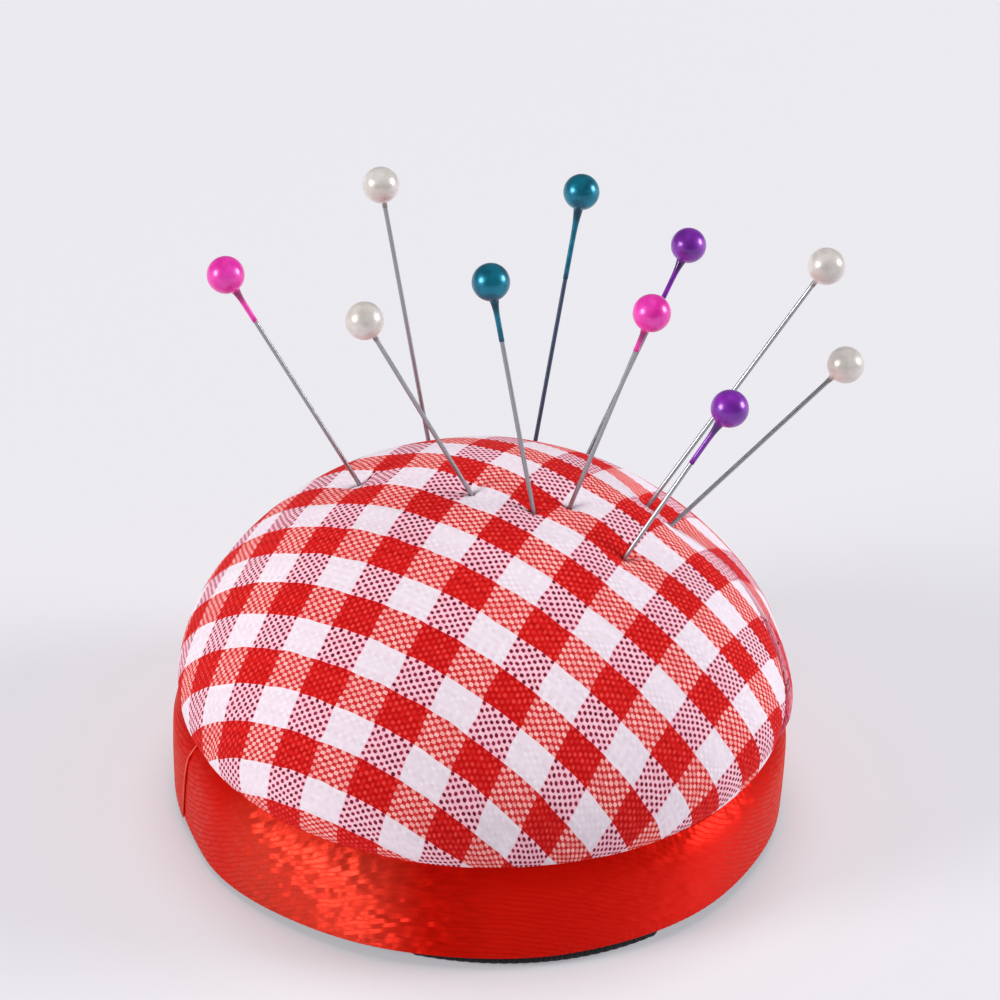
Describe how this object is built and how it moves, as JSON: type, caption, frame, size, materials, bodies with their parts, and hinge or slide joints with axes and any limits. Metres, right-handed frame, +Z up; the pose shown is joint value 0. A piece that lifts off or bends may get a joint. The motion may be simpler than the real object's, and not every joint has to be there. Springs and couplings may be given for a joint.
{
  "type": "wrist pincushion",
  "caption": "Dome-shaped gingham pincushion with a satin ribbon rim and an elastic wrist strap, holding ball-head pins that push in and pull out.",
  "frame": {"origin": "on the cushion's axis, on the surface that it stands on, under the middle of the strap", "axes": "+Z up through the crown, Y along the strap, -Y the front"},
  "size_m": [0.0711, 0.064, 0.0619],
  "materials": {
    "gingham_cotton": "red and white woven check, matte",
    "fibre_stuffing": "matte fibre",
    "card": "matte",
    "red_thread": "twisted cotton",
    "black_plastic": "matte",
    "red_satin": "satin weave, soft sheen",
    "black_elastic": "ribbed braid, matte",
    "steel_wire": "polished wire",
    "pink_ball": "pearly lacquer",
    "pearl_ball": "pearly lacquer",
    "teal_ball": "pearly lacquer",
    "purple_ball": "pearly lacquer"
  },
  "bodies": {
    "cushion": {"cushion_cover": "gingham_cotton", "stuffing": "fibre_stuffing", "card_disc": "card", "gather_thread": "red_thread", "base_plate": "black_plastic", "satin_ribbon": "red_satin", "strap_bend_front": "black_elastic", "strap_bend_back": "black_elastic", "strap_tab_front": "black_elastic", "strap_tab_back": "black_elastic"},
    "strap": {"strap_run": "black_elastic"},
    "pink_pin_left": {"pink_pin_left_shaft": "steel_wire", "pink_pin_left_head": "pink_ball"},
    "pearl_pin_back": {"pearl_pin_back_shaft": "steel_wire", "pearl_pin_back_head": "pearl_ball"},
    "pearl_pin_crown": {"pearl_pin_crown_shaft": "steel_wire", "pearl_pin_crown_head": "pearl_ball"},
    "teal_pin_crown": {"teal_pin_crown_shaft": "steel_wire", "teal_pin_crown_head": "teal_ball"},
    "teal_pin_back": {"teal_pin_back_shaft": "steel_wire", "teal_pin_back_head": "teal_ball"},
    "purple_pin_back": {"purple_pin_back_shaft": "steel_wire", "purple_pin_back_head": "purple_ball"},
    "pink_pin_right": {"pink_pin_right_shaft": "steel_wire", "pink_pin_right_head": "pink_ball"},
    "pearl_pin_far": {"pearl_pin_far_shaft": "steel_wire", "pearl_pin_far_head": "pearl_ball"},
    "pearl_pin_right": {"pearl_pin_right_shaft": "steel_wire", "pearl_pin_right_head": "pearl_ball"},
    "purple_pin_right": {"purple_pin_right_shaft": "steel_wire", "purple_pin_right_head": "purple_ball"}
  },
  "joints": [
    {"name": "strap_stretch", "type": "slide", "parent": "cushion", "child": "strap", "axis": [0, 0, -1], "range_m": [0, 0.04], "stiffness_N_per_m": 60, "deforming": ["strap_bend_front", "strap_bend_back"]},
    {"name": "pink_pin_left_slide", "type": "slide", "parent": "cushion", "child": "pink_pin_left", "axis": [-0.4924, 0.0868, 0.866], "range_m": [-0.021, 0.013]},
    {"name": "pearl_pin_back_slide", "type": "slide", "parent": "cushion", "child": "pearl_pin_back", "axis": [-0.1744, 0.1132, 0.9781], "range_m": [-0.017, 0.01]},
    {"name": "pearl_pin_crown_slide", "type": "slide", "parent": "cushion", "child": "pearl_pin_crown", "axis": [-0.4845, 0.0169, 0.8746], "range_m": [-0.02, 0.0175]},
    {"name": "teal_pin_crown_slide", "type": "slide", "parent": "cushion", "child": "teal_pin_crown", "axis": [-0.1732, 0.1923, 0.9659], "range_m": [-0.018, 0.016]},
    {"name": "teal_pin_back_slide", "type": "slide", "parent": "cushion", "child": "teal_pin_back", "axis": [0.1844, 0.2048, 0.9613], "range_m": [-0.0155, 0.012]},
    {"name": "purple_pin_back_slide", "type": "slide", "parent": "cushion", "child": "purple_pin_back", "axis": [0.4917, 0.3705, 0.788], "range_m": [-0.0165, 0.0145]},
    {"name": "pink_pin_right_slide", "type": "slide", "parent": "cushion", "child": "pink_pin_right", "axis": [0.3073, -0.0323, 0.9511], "range_m": [-0.016, 0.0175]},
    {"name": "pearl_pin_far_slide", "type": "slide", "parent": "cushion", "child": "pearl_pin_far", "axis": [0.5446, 0.0095, 0.8387], "range_m": [-0.024, 0.009]},
    {"name": "pearl_pin_right_slide", "type": "slide", "parent": "cushion", "child": "pearl_pin_right", "axis": [0.7184, 0.0376, 0.6947], "range_m": [-0.021, 0.016]},
    {"name": "purple_pin_right_slide", "type": "slide", "parent": "cushion", "child": "purple_pin_right", "axis": [0.515, 0, 0.8572], "range_m": [-0.012, 0.0215]}
  ]
}
